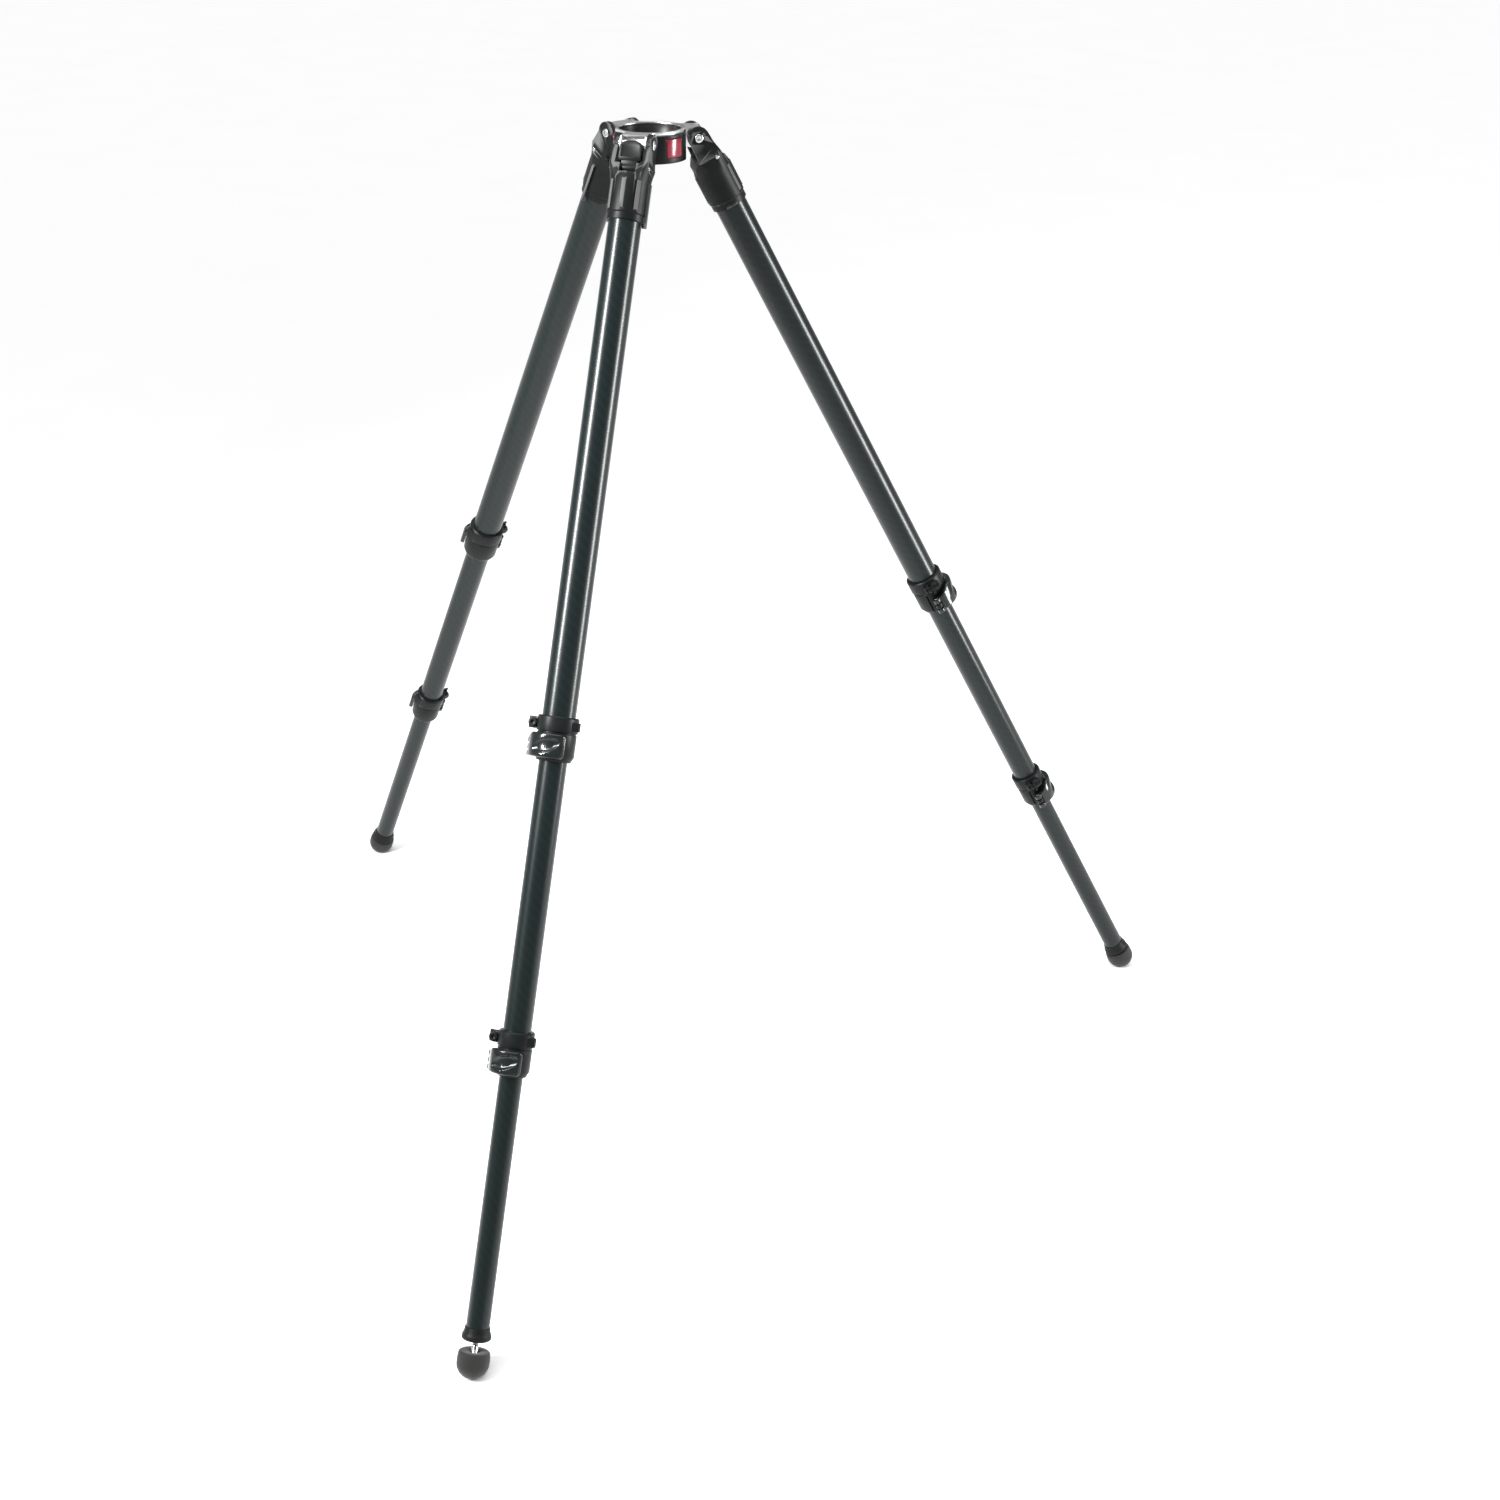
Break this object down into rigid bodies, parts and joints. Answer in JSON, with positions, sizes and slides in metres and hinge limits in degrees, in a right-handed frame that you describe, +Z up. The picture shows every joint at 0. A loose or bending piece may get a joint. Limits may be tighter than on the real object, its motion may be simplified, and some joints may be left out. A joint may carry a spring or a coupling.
{
  "type": "video tripod",
  "caption": "Folding carbon video tripod with a 75 mm half-bowl crown, sliding leg tubes with flip locks, angle catches and screw feet.",
  "frame": {"origin": "on the floor, under the middle of the box round the tripod as it stands", "axes": "+Z up; one leg points along -Y, the others to 30 and 150 degrees from +X"},
  "size_m": [1.2972, 1.1291, 1.3],
  "materials": {
    "bowl_metal": "satin cast aluminium with a polished bowl seat",
    "crown_black": "black fine-textured paint",
    "red_plastic": "glossy red moulding, blank",
    "leg_casting": "black satin paint",
    "bolt_steel": "bright steel",
    "spindle_steel": "threaded steel",
    "carbon_tube": "clear-coated carbon fibre weave",
    "glide_plastic": "plain black plastic",
    "lock_plastic": "black moulded plastic",
    "lever_plastic": "black moulded plastic with a smooth thumb recess",
    "catch_plastic": "black moulded plastic",
    "cap_plastic": "black moulded plastic",
    "foot_rubber": "black rubber"
  },
  "bodies": {
    "crown": {"bowl_casting": "bowl_metal", "crown_shell": "crown_black", "front_web_insert": "red_plastic", "right_web_insert": "red_plastic", "left_web_insert": "red_plastic"},
    "front_leg": {"front_leg_top": "leg_casting", "front_pivot_bolt": "bolt_steel", "front_catch_pin": "bolt_steel", "front_upper_tube": "carbon_tube", "front_upper_lock_collar": "lock_plastic", "front_upper_lever_pin": "bolt_steel"},
    "front_catch": {"front_angle_catch": "catch_plastic"},
    "front_upper_lever": {"front_upper_lock_lever": "lever_plastic"},
    "front_middle": {"front_middle_tube": "carbon_tube", "front_middle_glide": "glide_plastic", "front_lower_lock_collar": "lock_plastic", "front_lower_lever_pin": "bolt_steel"},
    "front_lower_lever": {"front_lower_lock_lever": "lever_plastic"},
    "front_lower": {"front_lower_tube": "carbon_tube", "front_lower_glide": "glide_plastic", "front_end_cap": "cap_plastic"},
    "front_foot": {"front_foot_spindle": "spindle_steel", "front_rubber_foot": "foot_rubber"},
    "right_leg": {"right_leg_top": "leg_casting", "right_pivot_bolt": "bolt_steel", "right_catch_pin": "bolt_steel", "right_upper_tube": "carbon_tube", "right_upper_lock_collar": "lock_plastic", "right_upper_lever_pin": "bolt_steel"},
    "right_catch": {"right_angle_catch": "catch_plastic"},
    "right_upper_lever": {"right_upper_lock_lever": "lever_plastic"},
    "right_middle": {"right_middle_tube": "carbon_tube", "right_middle_glide": "glide_plastic", "right_lower_lock_collar": "lock_plastic", "right_lower_lever_pin": "bolt_steel"},
    "right_lower_lever": {"right_lower_lock_lever": "lever_plastic"},
    "right_lower": {"right_lower_tube": "carbon_tube", "right_lower_glide": "glide_plastic", "right_end_cap": "cap_plastic"},
    "right_foot": {"right_foot_spindle": "spindle_steel", "right_rubber_foot": "foot_rubber"},
    "left_leg": {"left_leg_top": "leg_casting", "left_pivot_bolt": "bolt_steel", "left_catch_pin": "bolt_steel", "left_upper_tube": "carbon_tube", "left_upper_lock_collar": "lock_plastic", "left_upper_lever_pin": "bolt_steel"},
    "left_catch": {"left_angle_catch": "catch_plastic"},
    "left_upper_lever": {"left_upper_lock_lever": "lever_plastic"},
    "left_middle": {"left_middle_tube": "carbon_tube", "left_middle_glide": "glide_plastic", "left_lower_lock_collar": "lock_plastic", "left_lower_lever_pin": "bolt_steel"},
    "left_lower_lever": {"left_lower_lock_lever": "lever_plastic"},
    "left_lower": {"left_lower_tube": "carbon_tube", "left_lower_glide": "glide_plastic", "left_end_cap": "cap_plastic"},
    "left_foot": {"left_foot_spindle": "spindle_steel", "left_rubber_foot": "foot_rubber"}
  },
  "joints": [
    {"name": "front_leg_spread", "type": "hinge", "parent": "crown", "child": "front_leg", "pos_m": [0, 0.12723, 1.28697], "axis": [-1, 0, 0], "range_deg": [-27.4, 37]},
    {"name": "front_catch_pull", "type": "hinge", "parent": "front_leg", "child": "front_catch", "pos_m": [0, 0.10524, 1.26467], "axis": [1, 0, 0], "range_deg": [0, 22], "stiffness_Nm_per_rad": 0.3, "springref_deg": -20.05},
    {"name": "front_upper_lever_flip", "type": "hinge", "parent": "front_leg", "child": "front_upper_lever", "pos_m": [-0.03013, -0.19986, 0.66357], "axis": [0, -0.4679, -0.8838], "range_deg": [0, 110]},
    {"name": "front_lower_lever_flip", "type": "hinge", "parent": "front_middle", "child": "front_lower_lever", "pos_m": [-0.02715, -0.3737, 0.33581], "axis": [0, -0.4679, -0.8838], "range_deg": [0, 110]},
    {"name": "front_middle_slide", "type": "slide", "parent": "front_leg", "child": "front_middle", "axis": [0, -0.4679, -0.8838], "range_m": [-0.315, 0.23]},
    {"name": "front_lower_slide", "type": "slide", "parent": "front_middle", "child": "front_lower", "axis": [0, -0.4679, -0.8838], "range_m": [-0.285, 0.252]},
    {"name": "front_foot_screw", "type": "slide", "parent": "front_lower", "child": "front_foot", "axis": [0, -0.4679, -0.8838], "range_m": [-0.0117, 0.003]},
    {"name": "right_leg_spread", "type": "hinge", "parent": "crown", "child": "right_leg", "pos_m": [0.0472, 0.20898, 1.28697], "axis": [0.5, -0.866, 0], "range_deg": [-27.4, 37]},
    {"name": "right_catch_pull", "type": "hinge", "parent": "right_leg", "child": "right_catch", "pos_m": [0.06624, 0.21998, 1.26467], "axis": [-0.5, 0.866, 0], "range_deg": [0, 22], "stiffness_Nm_per_rad": 0.3, "springref_deg": -20.05},
    {"name": "right_upper_lever_flip", "type": "hinge", "parent": "right_leg", "child": "right_upper_lever", "pos_m": [0.34554, 0.34643, 0.66357], "axis": [0.4052, 0.234, -0.8838], "range_deg": [0, 110]},
    {"name": "right_lower_lever_flip", "type": "hinge", "parent": "right_middle", "child": "right_lower_lever", "pos_m": [0.49459, 0.43593, 0.33581], "axis": [0.4052, 0.234, -0.8838], "range_deg": [0, 110]},
    {"name": "right_middle_slide", "type": "slide", "parent": "right_leg", "child": "right_middle", "axis": [0.4052, 0.234, -0.8838], "range_m": [-0.315, 0.23]},
    {"name": "right_lower_slide", "type": "slide", "parent": "right_middle", "child": "right_lower", "axis": [0.4052, 0.234, -0.8838], "range_m": [-0.297, 0.24]},
    {"name": "right_foot_screw", "type": "slide", "parent": "right_lower", "child": "right_foot", "axis": [0.4052, 0.234, -0.8838], "range_m": [0, 0.015]},
    {"name": "left_leg_spread", "type": "hinge", "parent": "crown", "child": "left_leg", "pos_m": [-0.0472, 0.20898, 1.28697], "axis": [0.5, 0.866, 0], "range_deg": [-27.4, 37]},
    {"name": "left_catch_pull", "type": "hinge", "parent": "left_leg", "child": "left_catch", "pos_m": [-0.06624, 0.21998, 1.26467], "axis": [-0.5, -0.866, 0], "range_deg": [0, 22], "stiffness_Nm_per_rad": 0.3, "springref_deg": -20.05},
    {"name": "left_upper_lever_flip", "type": "hinge", "parent": "left_leg", "child": "left_upper_lever", "pos_m": [-0.3154, 0.39862, 0.66357], "axis": [-0.4052, 0.234, -0.8838], "range_deg": [0, 110]},
    {"name": "left_lower_lever_flip", "type": "hinge", "parent": "left_middle", "child": "left_lower_lever", "pos_m": [-0.46744, 0.48295, 0.33581], "axis": [-0.4052, 0.234, -0.8838], "range_deg": [0, 110]},
    {"name": "left_middle_slide", "type": "slide", "parent": "left_leg", "child": "left_middle", "axis": [-0.4052, 0.234, -0.8838], "range_m": [-0.315, 0.23]},
    {"name": "left_lower_slide", "type": "slide", "parent": "left_middle", "child": "left_lower", "axis": [-0.4052, 0.234, -0.8838], "range_m": [-0.297, 0.24]},
    {"name": "left_foot_screw", "type": "slide", "parent": "left_lower", "child": "left_foot", "axis": [-0.4052, 0.234, -0.8838], "range_m": [0, 0.015]}
  ]
}
